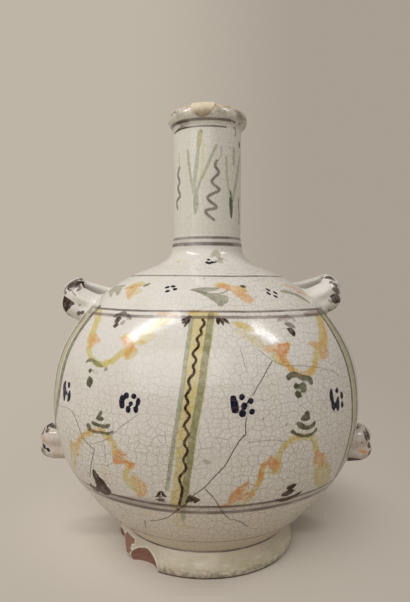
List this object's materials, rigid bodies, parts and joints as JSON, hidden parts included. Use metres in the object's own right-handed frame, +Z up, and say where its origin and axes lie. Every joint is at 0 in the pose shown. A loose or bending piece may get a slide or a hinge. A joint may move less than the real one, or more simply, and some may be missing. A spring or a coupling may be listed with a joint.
{
  "type": "pilgrim flask",
  "caption": "Globular tin-glazed earthenware pilgrim flask on a chipped foot ring, with a tall neck, rolled rim and grooved strap loops for a cord.",
  "frame": {"origin": "centre of the foot ring's standing face, on the flask's axis", "axes": "+Z up the flask's axis towards the mouth; +X to the right of someone who faces the front; -Y out of the painted front. The cord loops stand at the two sides, on -X and +X."},
  "size_m": [0.2343, 0.2082, 0.2976],
  "materials": {
    "glaze": "glossy tin glaze, crazed and worn",
    "plaster": "matte plaster"
  },
  "bodies": {
    "root": {"foot_ring": "glaze", "lower_bowl": "glaze", "upper_bowl": "glaze", "neck": "glaze", "rim_repair": "plaster", "upper_left_loop": "glaze", "upper_right_loop": "glaze", "lower_left_loop": "glaze", "lower_right_loop": "glaze"}
  },
  "joints": []
}
